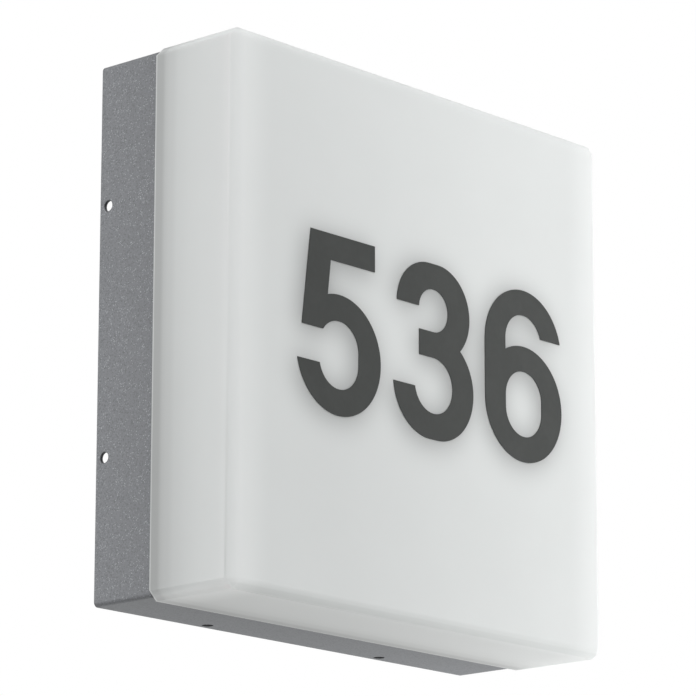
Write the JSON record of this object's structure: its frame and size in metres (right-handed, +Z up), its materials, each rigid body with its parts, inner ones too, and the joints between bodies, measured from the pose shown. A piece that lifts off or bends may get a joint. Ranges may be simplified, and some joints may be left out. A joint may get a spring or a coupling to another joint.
{
  "type": "outdoor wall light",
  "caption": "Square outdoor wall light: steel housing on a wall bracket, thick opal front with a number, board light source, driver and terminal box inside.",
  "frame": {"origin": "centre of the wall bracket's rear face, on the wall", "axes": "+Z up, -Y away from the wall towards the viewer, +X to the viewer's right"},
  "size_m": [0.25, 0.0853, 0.25],
  "materials": {
    "bracket_zinc": "bright zinc plated sheet steel",
    "screw_steel": "stainless screws",
    "housing_coat": "fine textured powder coat, silver grey, over 1.5 mm sheet steel",
    "opal_acrylic": "opal acrylic, satin",
    "number_film": "dark grey film",
    "tray_white": "white powder coat, reflective",
    "board_white": "white solder mask on a circuit board",
    "led_phosphor": "yellow phosphor under clear resin",
    "connector_ivory": "moulded, ivory",
    "rubber_grey": "dark grey elastomer",
    "driver_grey": "moulded, mid grey",
    "driver_lid": "moulded, light grey",
    "board_green": "green solder mask on a circuit board",
    "transformer_tape": "yellow tape over ferrite and winding",
    "capacitor_sleeve": "dark blue sleeve",
    "box_white": "moulded, white",
    "box_lid": "moulded, light grey",
    "brass": "turned brass",
    "lug_tin": "tinned",
    "lead_brown": "PVC insulation, brown",
    "lead_blue": "PVC insulation, blue",
    "lead_earth": "PVC insulation, green and yellow",
    "lead_red": "PVC insulation, red",
    "lead_black": "PVC insulation, black"
  },
  "bodies": {
    "bracket": {"wall_bracket": "bracket_zinc"},
    "lock_top_left": {"lock_screw_top_left": "screw_steel"},
    "lock_top_right": {"lock_screw_top_right": "screw_steel"},
    "lock_bottom_left": {"lock_screw_bottom_left": "screw_steel"},
    "lock_bottom_right": {"lock_screw_bottom_right": "screw_steel"},
    "housing": {"housing": "housing_coat", "carrier_tray": "tray_white", "led_board": "board_white", "led_chips": "led_phosphor", "board_screws": "screw_steel", "board_connector": "connector_ivory", "lead_grommet": "rubber_grey", "led_lead_positive": "lead_red", "led_lead_negative": "lead_black", "driver_case": "driver_grey", "driver_cover": "driver_lid", "driver_board": "board_green", "driver_transformer": "transformer_tape", "driver_capacitor": "capacitor_sleeve", "driver_screws": "screw_steel", "terminal_base": "box_white", "terminal_block": "connector_ivory", "terminal_clamps": "brass", "terminal_screws": "screw_steel", "terminal_box_screws": "screw_steel", "cable_grommet": "rubber_grey", "cord_clamp": "connector_ivory", "cord_clamp_screws": "screw_steel", "live_lead": "lead_brown", "neutral_lead": "lead_blue", "earth_lead": "lead_earth", "earth_lug": "lug_tin", "earth_nut": "brass", "earth_stud": "brass", "diffuser_screws": "screw_steel", "diffuser_washers": "rubber_grey"},
    "terminal_lid": {"terminal_cover": "box_lid"},
    "front": {"diffuser": "opal_acrylic", "rim_gasket": "rubber_grey", "digit_left": "number_film", "digit_middle": "number_film", "digit_right": "number_film"}
  },
  "joints": [
    {"name": "housing_lift_off", "type": "slide", "parent": "bracket", "child": "housing", "axis": [0, -1, 0], "range_m": [0, 0.06]},
    {"name": "diffuser_lift_off", "type": "slide", "parent": "housing", "child": "front", "axis": [0, -1, 0], "range_m": [0, 0.06]},
    {"name": "terminal_cover_hinge", "type": "hinge", "parent": "housing", "child": "terminal_lid", "pos_m": [0, -0.013, 0.0985], "axis": [1, 0, 0], "range_deg": [0, 110]},
    {"name": "lock_top_left_travel", "type": "slide", "parent": "bracket", "child": "lock_top_left", "axis": [0, 0, 1], "range_m": [0, 0.002]},
    {"name": "lock_top_right_travel", "type": "slide", "parent": "bracket", "child": "lock_top_right", "axis": [0, 0, 1], "range_m": [0, 0.002]},
    {"name": "lock_bottom_left_travel", "type": "slide", "parent": "bracket", "child": "lock_bottom_left", "axis": [0, 0, -1], "range_m": [0, 0.002]},
    {"name": "lock_bottom_right_travel", "type": "slide", "parent": "bracket", "child": "lock_bottom_right", "axis": [0, 0, -1], "range_m": [0, 0.002]}
  ]
}
